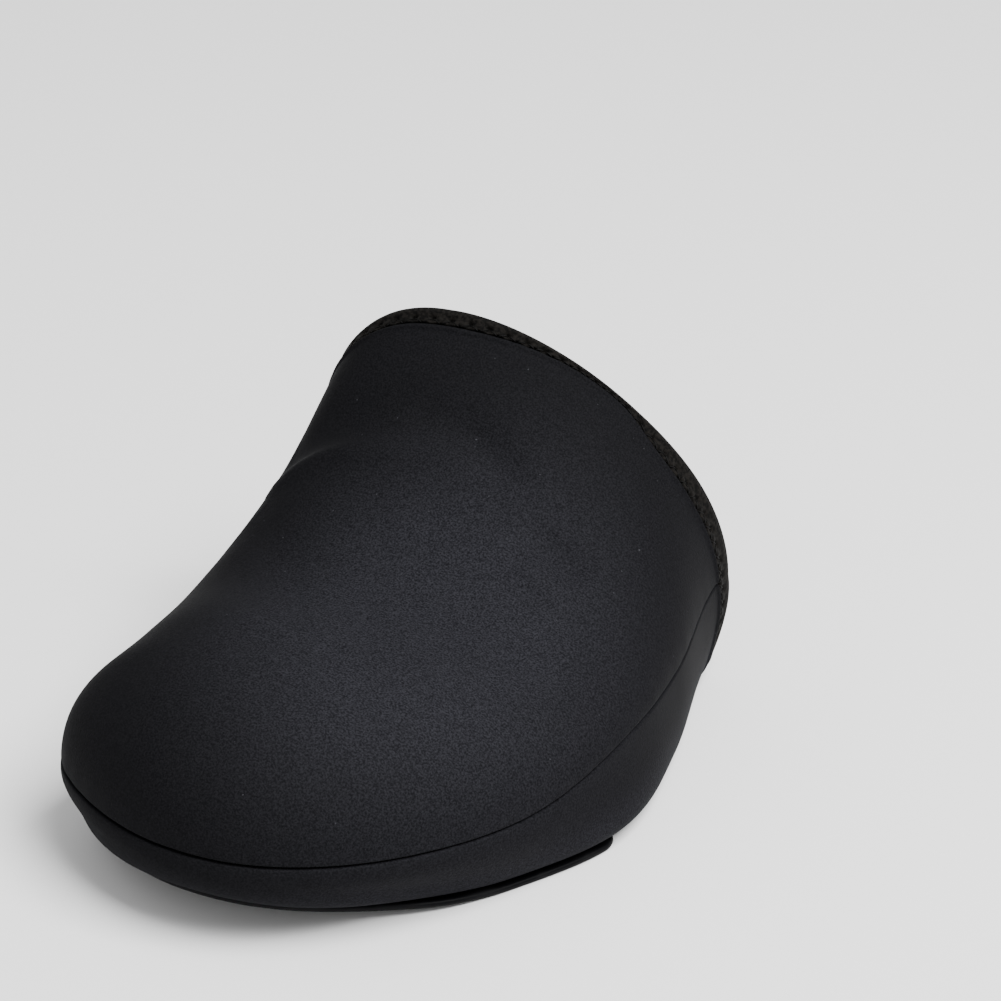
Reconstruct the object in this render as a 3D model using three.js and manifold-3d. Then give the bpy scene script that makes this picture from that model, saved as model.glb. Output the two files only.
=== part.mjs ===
// Half-length cycling overshoe for a left foot: a sewn neoprene toe cover, standing empty on its sole.
// Millimetres. X runs to the outer side of the foot, Y from the toe to the back, Z up.
import * as THREE from 'three';
import { mergeVertices } from 'three/addons/utils/BufferGeometryUtils.js';
import Module from 'manifold-3d';

const wasm = await Module();
wasm.setup();

// Driving dimensions of the whole cover
const coverLength = 148; // toe tip to the outside of the tape at the outer seam
const ballWidth = 105;
const toeBoxHeight = 46;
const instepHeight = 84; // ridge at the hem
const seamHeight = 25; // seam between top panel and side band
const toeSpring = 9.7; // lift of the toe tip
const springLength = 50; // the sole is level from here back
const toeTipSide = -8.0; // the toe points towards the big toe
const ridgeSide = -12.5; // the ridge of the instep lies inwards of the middle
const outerToeSweep = 92; // length over which the outline rounds off at the little toes
const innerToeSweep = 32;
const toeSquareness = 2.17; // 2 is an ellipse, more is squarer
const domeBack = 38; // the toe box has risen to its ridge here
const domeSoftness = 8;

// Driving dimensions of the pieces
const wall = 2.6; // neoprene of the upper
const soleThickness = 2.2;
const patchThickness = 1.5;
const tapeThickness = 0.9;
const tapeWidth = 4.2;
const tapeSink = 1; // the wall is pressed thinner under the tape, so that the tape lies flush
const tapeStep = 0.8; // length of the step down to the tape
const edgeRadius = 5; // the side band rolls under the sole
const lip = 4; // flat turned-under margin of the side band
const bandLean = 4; // most that the side band leans in towards the sole
const bandBulge = 0.5;
const grooveDepth = 1.2; // sewn groove between top panel and side band
const grooveWidth = 1.3;
const patchLength = 78;
const patchMargin = 1.6; // how far the patch stays inside the side band
const patchToeMargin = 7; // the same at the toe tip, where the band hides it
const patchToeBlend = 34; // length over which one margin becomes the other
const patchCorner = 9;
const cleatLength = 58;
const cleatWidth = 48;
const cleatCorner = 16;
const cleatBack = coverLength - 48; // middle of the cleat opening
const cleatSide = 3;
const cleatMargin = 8; // sole panel left bare between patch and opening

// Clearances
const gap = 0.3; // between pieces that are sewn or glued to each other
const weldTolerance = 1e-3;

// Steps of the meshes
const rowSteps = 34;
const patchSteps = 16;
const toeCrowding = 1.9; // more than 1 sets the rows closer towards the toe
const archSteps = 11;
const bandSteps = 3;
const rollSteps = 4;
const soleSteps = 8;
const foldSteps = 2;
const cornerSteps = 4;
const cutterSteps = 6;

// Table with named columns: a row for each section or place
function table(columns, rows) {
  return rows.map((row) => Object.fromEntries(columns.map((column, i) => [column, row[i]])));
}

// Sections from toe to heel, as shares: back of coverLength; outer and inner half widths of
// ballWidth; ridge of the climb from toe box to instep; side of ridgeSide; seam of seamHeight; lean
// of bandLean. outerFull and innerFull square the arch on each side, with 2 for an ellipse.
const sections = table(
  ['back', 'outer', 'inner', 'ridge', 'side', 'seam', 'lean', 'outerFull', 'innerFull'],
  [
    [0.0, 0.43, 0.395, -0.05, 0.96, 0.82, -0.2, 2.2, 2.22],
    [0.14, 0.471, 0.478, -0.01, 0.98, 0.78, 0.98, 2.2, 2.24],
    [0.3, 0.507, 0.451, 0.03, 1.06, 0.79, 0.64, 2.1, 2.63],
    [0.51, 0.529, 0.455, 0.02, 0.96, 1.01, -0.55, 2.0, 2.51],
    [0.71, 0.515, 0.444, 0.43, 0.96, 1.04, -0.25, 1.94, 2.45],
    [0.91, 0.467, 0.424, 1.06, 1.14, 1.09, 0.15, 1.77, 2.74],
    [1.12, 0.443, 0.406, 1.21, 0.96, 1.03, 0.98, 1.95, 2.36],
  ],
);

// Hem round the collar, from the outer lip (-1) over the outer seam (0), the ridge (1) and the inner
// seam (2) to the inner lip (3): back as a share of coverLength
const hemline = table(
  ['around', 'back'],
  [[-1, 0.981], [0, 0.995], [0.5, 0.919], [1, 0.882], [1.5, 0.877], [2, 0.925], [3, 0.966]],
);

const OUTER = 1;
const INNER = -1;
const { clamp, lerp, smoothstep } = THREE.MathUtils;

// Smooth curve through one column of a table: cubic pieces whose slope at a row is the weighted mean
// of the slopes beside it
function along(rows, key, column, value) {
  const last = rows.length - 1;
  const span = (i) => rows[i + 1][key] - rows[i][key];
  const slope = (i) => (rows[i + 1][column] - rows[i][column]) / span(i);
  const tangent = (i) => {
    if (i === 0) return slope(0);
    if (i === last) return slope(last - 1);
    return (span(i) * slope(i - 1) + span(i - 1) * slope(i)) / (span(i) + span(i - 1));
  };
  let i = 0;
  while (i < last - 1 && value > rows[i + 1][key]) i += 1;
  const t = (value - rows[i][key]) / span(i);
  const start = rows[i][column] * (1 + 2 * t) + tangent(i) * span(i) * t;
  const end = rows[i + 1][column] * (3 - 2 * t) + tangent(i + 1) * span(i) * (t - 1);
  return start * (1 - t) ** 2 + end * t ** 2;
}

const section = (column, back) => along(sections, 'back', column, back / coverLength);
const seamZ = (back) => seamHeight * section('seam', back);
const ridgeZ = (back) => lerp(toeBoxHeight, instepHeight, section('ridge', back));
const leanIn = (back) => bandLean * section('lean', back);

// Height of the underside over the floor: room for the patch in front and for the tape at the back,
// plus the toe spring
function underZ(y) {
  const spring = toeSpring * clamp(1 - y / springLength, 0, 1) ** 2;
  const towardsHem = smoothstep(y, cleatBack, cleatBack + cleatLength / 2);
  return spring + gap + lerp(patchThickness, tapeThickness, towardsHem);
}

// Plan outline at the seam: half width times a superellipse that rounds off the toe
function outlineX(side, back) {
  const sweep = side === OUTER ? outerToeSweep : innerToeSweep;
  const half = side * ballWidth * section(side === OUTER ? 'outer' : 'inner', back);
  const left = clamp(1 - back / sweep, 0, 1);
  return lerp(toeTipSide, half, (1 - left ** toeSquareness) ** (1 / toeSquareness));
}

// Outward normal of that outline in plan
function outlineNormal(side, back) {
  if (back === 0) return new THREE.Vector2(0, -1);
  const step = Math.min(back, gap);
  const across = outlineX(side, back + step) - outlineX(side, back - step);
  return new THREE.Vector2(side * 2 * step, -side * across).normalize();
}

// Point of the underside, or of the outline itself, a given distance inside the outline
function insetPoint(side, back, inset) {
  const plan = new THREE.Vector2(outlineX(side, back), back);
  plan.addScaledVector(outlineNormal(side, back), -inset);
  return new THREE.Vector3(plan.x, plan.y, underZ(plan.y));
}

// Towards the toe the ridge end of each arch stays back at the dome, so that the arches fan out
// round the toe box
function ridgeBack(back) {
  const beyond = back - domeBack;
  return domeBack + (beyond + Math.hypot(beyond, domeSoftness)) / 2;
}

const archRise = (back) => ridgeZ(ridgeBack(back)) - seamZ(back);
const archPower = (side, back) => 2 / section(side === OUTER ? 'outerFull' : 'innerFull', back);

// Top panel from the seam (turn 0) to the ridge (turn 1): a superellipse quarter
function archPoint(side, back, turn) {
  const angle = (turn * Math.PI) / 2;
  const power = archPower(side, back);
  const across = 1 - Math.cos(angle) ** power;
  const top = ridgeBack(back);
  return new THREE.Vector3(
    lerp(outlineX(side, back), ridgeSide * section('side', top), across),
    lerp(back, top, across),
    seamZ(back) + archRise(back) * Math.sin(angle) ** power,
  );
}

// Side band from the seam (turn 0) down its wall, round its rolled edge and inwards along its lip
// under the sole (turn -1)
const ROLL = -0.5;
const LIP = -0.9;

function bandPoint(side, back, turn) {
  const down = clamp(turn / ROLL, 0, 1);
  const roll = (clamp((turn - ROLL) / (LIP - ROLL), 0, 1) * Math.PI) / 2;
  const under = clamp((turn - LIP) / (-1 - LIP), 0, 1);
  const bulge = bandBulge * 4 * down * (1 - down);
  const rolledIn = edgeRadius * (1 - Math.cos(roll)) + lip * under;
  const point = insetPoint(side, back, leanIn(back) * down ** 2 + rolledIn - bulge);
  const wallZ = lerp(seamZ(back), point.z + edgeRadius, down);
  point.z = wallZ - edgeRadius * Math.sin(roll);
  return point;
}

// Distance of the hem behind the toe tip
function hemBack(side, turn) {
  const around = side === OUTER ? turn : 2 - turn;
  return coverLength * along(hemline, 'around', 'back', around);
}

// Turns that lie a given height over or under the seam
function turnAbove(side, back, height) {
  return (2 / Math.PI) * Math.asin((height / archRise(back)) ** (1 / archPower(side, back)));
}

function turnBelow(back, depth) {
  return (ROLL * depth) / (seamZ(back) - underZ(back) - edgeRadius);
}

// Shares from 0 to 1, without the 0
const shares = (count) => Array.from({ length: count }, (_, i) => (i + 1) / count);

// Columns of the upper from lip to ridge, as turns at a distance back: the lip, the roll, the wall,
// rows close beside the groove, and the arch
const bandTurns = [
  () => -1,
  ...shares(rollSteps).map((share) => () => lerp(LIP, ROLL, share - 1 / rollSteps)),
  ...shares(bandSteps).map((share) => (side, back) => {
    return lerp(ROLL, turnBelow(back, 2 * grooveWidth), share - 1 / bandSteps);
  }),
  (side, back) => turnBelow(back, 2 * grooveWidth),
  (side, back) => turnBelow(back, grooveWidth),
];
const archTurns = [
  () => 0,
  (side, back) => turnAbove(side, back, grooveWidth),
  (side, back) => turnAbove(side, back, 2 * grooveWidth),
  (side, back) => turnAbove(side, back, 4 * grooveWidth),
  ...shares(archSteps).map((share) => (side, back) => {
    return lerp(turnAbove(side, back, 4 * grooveWidth), 1, share);
  }),
];
const sideTurns = [...bandTurns, ...archTurns];
const upperColumns = [
  ...sideTurns.map((turnAt) => ({ side: OUTER, turnAt })),
  ...sideTurns.slice(0, -1).reverse().map((turnAt) => ({ side: INNER, turnAt })),
];

// Rows of the upper and the under panel as shares of the way from the toe to the hem. The last two
// bound the tape.
const tapeRow = 1 - tapeWidth / coverLength;
const panelRow = tapeRow - tapeStep / coverLength;
const rowShares = [0, ...shares(rowSteps).map((share) => panelRow * share ** toeCrowding), tapeRow, 1];

// Place on the upper at a share of the way from the toe to the hem, with the depth to which the
// seam's groove or the tape presses its outer face in
function upperPlace({ side, turnAt }, share) {
  const nearly = turnAt(side, share * coverLength);
  const back = share * hemBack(side, nearly);
  const turn = turnAt(side, back);
  const point = (turn < 0 ? bandPoint : archPoint)(side, back, turn);
  const groove = grooveDepth * Math.exp(-(((point.z - seamZ(back)) / grooveWidth) ** 2));
  const underTape = share >= tapeRow ? tapeSink * smoothstep(turn, LIP, ROLL) : 0;
  return { point, pressed: Math.max(groove, underTape) };
}

// Place on the under panel, across from its outer (0) to its inner edge (1)
function solePlace(share, across) {
  const inset = edgeRadius + lip + gap;
  const [outer, inner] = [OUTER, INNER].map((side) => {
    const back = share * hemBack(side, -1);
    return insetPoint(side, back, leanIn(back) + inset);
  });
  const point = outer.lerp(inner, across);
  return { point: point.setZ(underZ(point.y)), pressed: 0 };
}

// Two faces of a four-sided cell, parted along its shorter diagonal
function parted(points, a, b, c, d) {
  const across = (from, to) => points[from].distanceTo(points[to]);
  return across(a, c) <= across(b, d) ? [a, b, c, a, c, d] : [a, b, d, b, c, d];
}

// Open sheet through a grid of points, rows by columns, with coincident points joined. Each vertex
// keeps how far the front of the sheet is pressed in there.
function sheet(grid) {
  const width = grid[0].length;
  const places = grid.flat();
  const points = places.map(({ point }) => point);
  const cells = [];
  for (let row = 0; row + 1 < grid.length; row += 1) {
    for (let column = 0; column + 1 < width; column += 1) {
      const a = row * width + column;
      cells.push(...parted(points, a, a + width, a + width + 1, a + 1));
    }
  }
  const loose = new THREE.BufferGeometry();
  const positions = points.flatMap((point) => point.toArray());
  loose.setAttribute('position', new THREE.Float32BufferAttribute(positions, 3));
  loose.setAttribute('pressed', new THREE.Float32BufferAttribute(places.map(({ pressed }) => pressed), 1));
  loose.setIndex(cells);
  const joined = mergeVertices(loose, weldTolerance);
  const faces = [];
  for (let i = 0; i < joined.index.count; i += 3) {
    const face = [0, 1, 2].map((corner) => joined.index.getX(i + corner));
    if (new Set(face).size === 3) faces.push(face);
  }
  joined.setIndex(faces.flat());
  joined.computeVertexNormals();
  return { joined, faces };
}

// Closed solid between two copies of a sheet, front and back, with walls along its free edges
function solidBetween({ joined, faces }, front, back) {
  const count = joined.attributes.position.count;
  const points = [front, back].flatMap((place) => Array.from({ length: count }, (_, i) => {
    const point = new THREE.Vector3().fromBufferAttribute(joined.attributes.position, i);
    const normal = new THREE.Vector3().fromBufferAttribute(joined.attributes.normal, i);
    return place(point, normal, joined.attributes.pressed.getX(i)).toArray();
  }));
  const index = [...faces.flat(), ...faces.flatMap(([a, b, c]) => [c + count, b + count, a + count])];
  const edges = faces.flatMap(([a, b, c]) => [[a, b], [b, c], [c, a]]);
  const known = new Set(edges.map(([a, b]) => `${a},${b}`));
  for (const [a, b] of edges) {
    if (!known.has(`${b},${a}`)) index.push(b, a, a + count, b, a + count, b + count);
  }
  return geometryOf(points.flat(), index);
}

function geometryOf(positions, index) {
  const geometry = new THREE.BufferGeometry();
  geometry.setAttribute('position', new THREE.Float32BufferAttribute(positions, 3));
  geometry.setIndex(Array.from(index));
  return geometry;
}

// What is left of one closed geometry after another is cut out of it
function cut(geometry, cutter) {
  const [body, tool] = [geometry, cutter].map((each) => {
    const bare = each.clone().deleteAttribute('normal').deleteAttribute('uv');
    const merged = mergeVertices(bare, weldTolerance);
    return new wasm.Manifold(new wasm.Mesh({
      numProp: 3,
      vertProperties: Float32Array.from(merged.attributes.position.array),
      triVerts: Uint32Array.from(merged.index.array),
    }));
  });
  const { vertProperties, triVerts } = body.subtract(tool).getMesh();
  return geometryOf(vertProperties, triVerts);
}

// Upright block of the cleat opening's outline, grown by a margin
function cleatBlock(margin) {
  const [halfWidth, halfLength] = [cleatWidth / 2 + margin, cleatLength / 2 + margin];
  const radius = cleatCorner + margin;
  const outline = new THREE.Shape();
  outline.absarc(halfWidth - radius, halfLength - radius, radius, 0, Math.PI / 2);
  outline.absarc(radius - halfWidth, halfLength - radius, radius, Math.PI / 2, Math.PI);
  outline.absarc(radius - halfWidth, radius - halfLength, radius, Math.PI, 1.5 * Math.PI);
  outline.absarc(halfWidth - radius, radius - halfLength, radius, 1.5 * Math.PI, 2 * Math.PI);
  const shape = { depth: 2 * seamHeight, bevelEnabled: false, curveSegments: cutterSteps };
  return new THREE.ExtrudeGeometry(outline, shape).translate(cleatSide, cleatBack, -seamHeight);
}

function upperSheet() {
  return sheet(rowShares.map((share) => upperColumns.map((column) => upperPlace(column, share))));
}

function upperGeometry() {
  return solidBetween(
    upperSheet(),
    (point, normal, depth) => point.addScaledVector(normal, -depth),
    (point, normal) => point.addScaledVector(normal, -wall),
  );
}

function soleGeometry() {
  const across = [0, ...shares(soleSteps)];
  const grid = rowShares.map((share) => across.map((each) => solePlace(share, each)));
  const panel = solidBetween(
    sheet(grid),
    (point, normal) => point.addScaledVector(normal, soleThickness),
    (point) => point,
  );
  return cut(panel, cleatBlock(0));
}

// The patch follows the outline and ends in two rounded horns beside the cleat opening
function patchGeometry() {
  const straight = patchLength - patchCorner;
  const rows = [
    ...[0, ...shares(patchSteps)].map((share) => ({ back: straight * share ** toeCrowding, inset: 0 })),
    ...shares(cornerSteps).map((share) => {
      const angle = (share * Math.PI) / 2;
      const inset = patchCorner * (1 - Math.cos(angle));
      return { back: straight + patchCorner * Math.sin(angle), inset };
    }),
  ];
  const grid = rows.map(({ back, inset }) => {
    const margin = inset + lerp(patchToeMargin, patchMargin, smoothstep(back, 0, patchToeBlend));
    const [outer, inner] = [OUTER, INNER].map((side) => {
      return insetPoint(side, back, leanIn(back) + margin);
    });
    return [0, ...shares(soleSteps)].map((share) => {
      const point = outer.clone().lerp(inner, share);
      return { point: point.setZ(underZ(point.y)), pressed: 0 };
    });
  });
  const patch = solidBetween(
    sheet(grid),
    (point, normal) => point.addScaledVector(normal, -gap),
    (point, normal) => point.addScaledVector(normal, -gap - patchThickness),
  );
  return cut(patch, cleatBlock(cleatMargin));
}

// Section of the folded tape: x runs forwards from the hem, y outwards from the outer face. It wraps
// a layer of the given thickness, for a width along it.
function tapeProfile(layer, width) {
  const outside = gap + tapeThickness;
  const fold = (centreY, from) => Array.from({ length: foldSteps + 1 }, (_, i) => {
    const angle = from + (i / foldSteps) * (Math.PI / 2);
    return new THREE.Vector2(outside * Math.cos(angle), centreY + outside * Math.sin(angle));
  });
  return [
    new THREE.Vector2(width, gap),
    new THREE.Vector2(width, outside),
    ...fold(0, Math.PI / 2),
    ...fold(-layer, Math.PI),
    new THREE.Vector2(width, -layer - outside),
    new THREE.Vector2(width, -layer - gap),
    new THREE.Vector2(-gap, -layer - gap),
    new THREE.Vector2(-gap, gap),
  ];
}

// Normal of a sheet at the vertex that lies on a given point
function normalAt({ joined }, point) {
  const { position, normal } = joined.attributes;
  const vertex = new THREE.Vector3();
  let nearest = 0;
  let least = Infinity;
  for (let i = 0; i < position.count; i += 1) {
    const distance = vertex.fromBufferAttribute(position, i).distanceTo(point);
    if (distance < least) [nearest, least] = [i, distance];
  }
  return new THREE.Vector3().fromBufferAttribute(normal, nearest);
}

// Closed loop of tape round the hem of upper and under panel
function tapeGeometry() {
  const upper = upperSheet();
  const down = new THREE.Vector3(0, 0, -1);
  const stops = [
    ...upperColumns.map((column) => {
      const [edge, front] = [1, tapeRow].map((share) => upperPlace(column, share));
      return { edge, front, outward: normalAt(upper, edge.point), layer: wall };
    }),
    ...shares(soleSteps).slice(0, -1).map((share) => {
      const [edge, front] = [1, tapeRow].map((row) => solePlace(row, 1 - share));
      return { edge, front, outward: down, layer: soleThickness };
    }),
  ];
  const profiles = stops.map(({ edge, front, outward, layer }) => {
    const forward = front.point.clone().sub(edge.point);
    const profile = tapeProfile(layer - edge.pressed, forward.length() - gap);
    forward.normalize();
    return profile.map(({ x, y }) => {
      return edge.point.clone().addScaledVector(forward, x).addScaledVector(outward, y - edge.pressed);
    });
  });
  const points = profiles.flat();
  const count = stops.length;
  const width = profiles[0].length;
  const index = [];
  for (let i = 0; i < count; i += 1) {
    for (let j = 0; j < width; j += 1) {
      const [here, next] = [i * width, ((i + 1) % count) * width];
      const up = (j + 1) % width;
      index.push(...parted(points, here + j, here + up, next + up, next + j));
    }
  }
  return geometryOf(points.flatMap((point) => point.toArray()), index);
}

const neoprene = () => new THREE.MeshStandardMaterial({ color: 0x1f2124, roughness: 0.82, metalness: 0 });
const rubber = () => new THREE.MeshStandardMaterial({ color: 0x111214, roughness: 0.3, metalness: 0 });
const tape = () => new THREE.MeshStandardMaterial({ color: 0x191817, roughness: 0.9, metalness: 0 });

const cover = new THREE.Group();
const pieces = [
  ['upper', upperGeometry(), neoprene()],
  ['sole_panel', soleGeometry(), neoprene()],
  ['toe_patch', patchGeometry(), rubber()],
  ['hem_binding', tapeGeometry(), tape()],
];
for (const [name, geometry, material] of pieces) {
  const mesh = new THREE.Mesh(geometry, material);
  mesh.name = name;
  cover.add(mesh);
}

// Origin under the middle of the cover, on the floor
const box = new THREE.Box3().setFromObject(cover);
const middle = box.getCenter(new THREE.Vector3());
cover.position.set(-middle.x, -middle.y, -box.min.z);

export default cover;
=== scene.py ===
"""Looks of a half-length cycling overshoe for a left foot: a sewn neoprene toe cover.

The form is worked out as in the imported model: millimetres, X to the outer side of the foot, Y from
the toe to the back, Z up. Each piece is a surface of two parameters; put() turns it into metres and
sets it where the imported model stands. What repeats along a seam is one joined mesh.
"""
import math

import bmesh
import bpy
import numpy as np
from mathutils import Matrix, Vector


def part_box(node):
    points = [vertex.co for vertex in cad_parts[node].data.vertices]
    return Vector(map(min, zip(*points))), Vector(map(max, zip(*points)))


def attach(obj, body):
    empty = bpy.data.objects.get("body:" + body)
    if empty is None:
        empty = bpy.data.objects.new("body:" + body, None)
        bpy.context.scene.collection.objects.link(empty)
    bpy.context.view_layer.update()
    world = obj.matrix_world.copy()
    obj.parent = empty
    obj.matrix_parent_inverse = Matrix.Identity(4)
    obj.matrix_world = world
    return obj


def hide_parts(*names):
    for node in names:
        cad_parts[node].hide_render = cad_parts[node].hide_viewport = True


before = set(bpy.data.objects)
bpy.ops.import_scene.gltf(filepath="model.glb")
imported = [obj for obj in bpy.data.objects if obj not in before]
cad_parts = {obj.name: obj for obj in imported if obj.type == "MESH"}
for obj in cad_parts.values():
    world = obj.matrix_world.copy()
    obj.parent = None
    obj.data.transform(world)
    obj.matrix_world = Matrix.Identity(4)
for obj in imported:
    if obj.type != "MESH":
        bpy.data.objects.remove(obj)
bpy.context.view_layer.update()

MM = 0.001

# Driving dimensions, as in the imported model
COVER_LENGTH = 148.0
BALL_WIDTH = 105.0
TOE_BOX_HEIGHT = 46.0
INSTEP_HEIGHT = 84.0
SEAM_HEIGHT = 25.0
TOE_SPRING = 9.7
SPRING_LENGTH = 50.0
TOE_TIP_SIDE = -8.0
RIDGE_SIDE = -12.5
OUTER_TOE_SWEEP = 92.0
INNER_TOE_SWEEP = 32.0
TOE_SQUARENESS = 2.17
DOME_BACK = 38.0
DOME_SOFTNESS = 8.0
WALL = 2.6
SOLE_THICKNESS = 2.2
PATCH_THICKNESS = 1.5
TAPE_THICKNESS = 0.9
TAPE_WIDTH = 4.2
TAPE_SINK = 1.0
EDGE_RADIUS = 5.0
LIP = 4.0
BAND_LEAN = 4.0
BAND_BULGE = 0.5
PATCH_LENGTH = 78.0
PATCH_MARGIN = 1.6
PATCH_TOE_MARGIN = 7.0
PATCH_TOE_BLEND = 34.0
PATCH_CORNER = 9.0
CLEAT_LENGTH = 58.0
CLEAT_WIDTH = 48.0
CLEAT_CORNER = 16.0
CLEAT_BACK = 100.0
CLEAT_SIDE = 3.0
CLEAT_MARGIN = 8.0
GAP = 0.3

# Sections from toe to heel, as shares of the dimensions above
SECTION_COLUMNS = ("back", "outer", "inner", "ridge", "side", "seam", "lean", "outer_full", "inner_full")
SECTION_ROWS = (
    (0.0, 0.43, 0.395, -0.05, 0.96, 0.82, -0.2, 2.2, 2.22),
    (0.14, 0.471, 0.478, -0.01, 0.98, 0.78, 0.98, 2.2, 2.24),
    (0.3, 0.507, 0.451, 0.03, 1.06, 0.79, 0.64, 2.1, 2.63),
    (0.51, 0.529, 0.455, 0.02, 0.96, 1.01, -0.55, 2.0, 2.51),
    (0.71, 0.515, 0.444, 0.43, 0.96, 1.04, -0.25, 1.94, 2.45),
    (0.91, 0.467, 0.424, 1.06, 1.14, 1.09, 0.15, 1.77, 2.74),
    (1.12, 0.443, 0.406, 1.21, 0.96, 1.03, 0.98, 1.95, 2.36),
)
SECTIONS = dict(zip(SECTION_COLUMNS, np.array(SECTION_ROWS).T))

# Hem from the outer lip (-1) over outer seam (0), ridge (1) and inner seam (2) to the inner lip (3)
HEM_ROWS = ((-1, 0.981), (0, 0.995), (0.5, 0.919), (1, 0.882), (1.5, 0.877), (2, 0.925), (3, 0.966))
HEMLINE = dict(zip(("around", "back"), np.array(HEM_ROWS).T))

# Soft folds of the top panel: height in mm (a trough is negative), half width in mm, then places as
# (turns round from the outer seam, mm behind the toe tip)
FOLDS = (
    (1.3, 2.7, (
        (1.64, 99), (1.5, 99.5), (1.41, 100.6), (1.29, 102), (1.2, 102.6), (1.1, 103.4), (0.98, 105),
    )),
    (0.6, 3.2, ((1.25, 102.3), (1.1, 103.6), (0.98, 105), (0.86, 106), (0.76, 103))),
    (-1.1, 7.5, ((1.6, 90), (1.35, 82), (1.14, 69), (0.97, 60))),
    (-1.4, 5.6, ((1.6, 109), (1.42, 108), (1.25, 109.5), (1.1, 111), (0.95, 112))),
    (-1.5, 4.6, ((1.02, 112), (0.92, 111.5), (0.85, 110.5), (0.79, 108), (0.74, 104))),
    (-1.8, 4.2, ((0.69, 100), (0.62, 97.5), (0.56, 95.5), (0.5, 93.5))),
    (1.3, 4.5, ((0.66, 91), (0.58, 89.5), (0.5, 88))),
)
FOLD_STEPS = 60
FOLD_FADE = 0.6
FOLDS_OVER_SEAM = (3, 14)  # mm over the seam between which they fade in
FOLDS_BEFORE_HEM = (6, 16)  # mm before the hem between which they fade out

# Painted light: middle of a pool of lighter colour over the toe box in mm, how fast it fades along X, Y and
# Z, the radii in metres between which it fades to painted shade, and the heights in metres between which the
# painted floor-bounce light at the foot does
PAINTED_LIGHT_MIDDLE = (14, 63, 45)
PAINTED_LIGHT_FADE = (1.25, 0.92, 1.0)
PAINTED_LIGHT_RADII = (0.02, 0.07)
PAINTED_BOUNCE_HEIGHTS = (0.004, 0.017)

# Round the hem from the outer lip (-1) to the inner lip (3): how far it curls in towards the collar
# (or out, below 0) and how wide the tape shows, in mm
RIM_ROWS = (
    (-1, 0, 4.2), (-0.4, -0.2, 4.2), (0, -0.7, 5), (0.3, -0.7, 5.2), (0.42, -0.3, 4.2),
    (0.52, 0.1, 1.6), (0.62, 0.3, 1.3), (0.76, 0.4, 2.1), (0.88, 0.3, 3), (1.15, 0.2, 3.2),
    (1.5, 0.2, 3.3), (2, 0.1, 4.2), (3, 0, 4.2),
)
RIM = dict(zip(("around", "curl", "width"), np.array(RIM_ROWS).T))
CURL_REACH = 8.0
TAPE_SHOULDER = 0.6  # over which the wall rises from under the tape
HEM_ROLL = 0.5  # height of the swollen cloth in front of the tape
HEM_ROLL_WIDTH = 0.5

# Seam between top panel and side band: the share of half the wall over which each sheet's edge is
# rounded, how far the sheets reach into each other, and the soft waves that the thread pulls in
SEAM_TIGHTNESS = 0.5
SEAM_TOUCH = 0.15
SEAM_PUCKER = 0.05
PUCKER_LENGTH = 7.0
PUCKER_REACH = 5.0
PUCKER_DRIFT = 2
PUCKER_DRIFT_LENGTH = 19
THINNEST = 0.02  # what is left of the wall at least

# Tape in mm
TAPE_TOP = GAP + TAPE_THICKNESS - TAPE_SINK  # its outside, over the cloth's outer face
TAPE_EDGE = (0.0, 0.12, 0.28, 0.45)  # points of its rounded edge, from the edge
TAPE_FLAT = (0.65, 0.3)  # its flat part starts this far from the edge, and ends this far from the hem
TAPE_INSIDE = (0.2, 0.4)  # the same between its layers
TAPE_FOLD = 1.3  # how far its fold stands behind the hem
FOLD_OUTSIDE = 4  # points of the fold that count as outside
TAPE_RIBS = ((0.25, 0.2, 0.2), (0.1, 0.75, 0.12))  # height, then middle and width as shares of it

# Stitches in mm. The hem's two rows lie at shares of the tape's width from the hem. The back row
# pulls pits, between which the tape's edge draws back, and the front row shows as dashes on the
# outer side.
THREAD = 0.15  # radius
HEM_PITCH = 4.4
HEM_ROW_FRONT = 0.94
HEM_ROW_BACK = 0.62
HEM_THREAD_SINK = 0.05  # under the tape's outside
SCALLOP = 0.4
PIT_DEPTH = 1.05
PIT_WIDTH = 0.6
PIT_SHARPNESS = 3
DASH_DEPTHS = (0.1, 0.7)  # all along the row, and added between the pits
DASH_WIDTH = 0.45
DASH_SHARPNESS = 1.5
DASH_END = 0.7  # turns round from the outer seam
DASH_FADE = (0.1, 0.4)
SEAM_PITCH = 3.3
SEAM_STITCH = 2.1
SEAM_DEPTH = 1.1
SEAM_SLANT = 0.15
SEAM_END = 1.5  # from the last stitch to the tape
SEAM_LEVEL = (1, 1, 0.2)  # turns the stitches' outward direction towards level
UNDER_ZIGZAG = (-1.3, 1.6)  # inwards from the lip
UNDER_COUNT = 35
UNDER_MARGIN = 2
UNDER_SINK = 0.05  # below the lip
CLEAT_STITCH = (0.3, 3.2)  # outside the opening
CLEAT_SLANT = 0.02  # radians
CLEAT_COUNT = 74

# Turns of the form where the band's rolled edge and its lip begin, and the sign of each side
ROLL_TURN = -0.5
LIP_TURN = -0.9
OUTER = 1.0
INNER = -1.0

# Grids: rows along a piece and columns across it. The panels' rows are crowded at the toe and end
# at HEM_TAIL's distances from the hem, and their first columns lie at these distances from the seam.
HALF_ROWS = 190
TOE_CROWDING = 1.9
TAIL_STEP = 1.2
HEM_TAIL = (
    8, 7.4, 6.9, 6.5, 6.2, 5.9, 5.6, 5.3, 5, 4.7, 4.4, 4.1, 3.8, 3.5, 3.2, 2.9, 2.6, 2.3, 2, 1.6,
    1.2, 0.8, 0.4, 0.2, 0,
)
SEAM_HEIGHTS = (0, 0.03, 0.1, 0.2, 0.35, 0.6, 0.95, 1.4, 1.9, 2.5, 3.3, 4.4)
BAND_DEPTHS = (0, 0.03, 0.1, 0.2, 0.35, 0.6, 0.95, 1.4, 1.9, 2.5, 3.3)
ARCH_COLUMNS = 58
WALL_COLUMNS = 13
ROLL_COLUMNS = 15
LIP_COLUMNS = 9
PANEL_ROWS = 360
PANEL_COLUMNS = 44
PATCH_ROWS = 281
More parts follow.
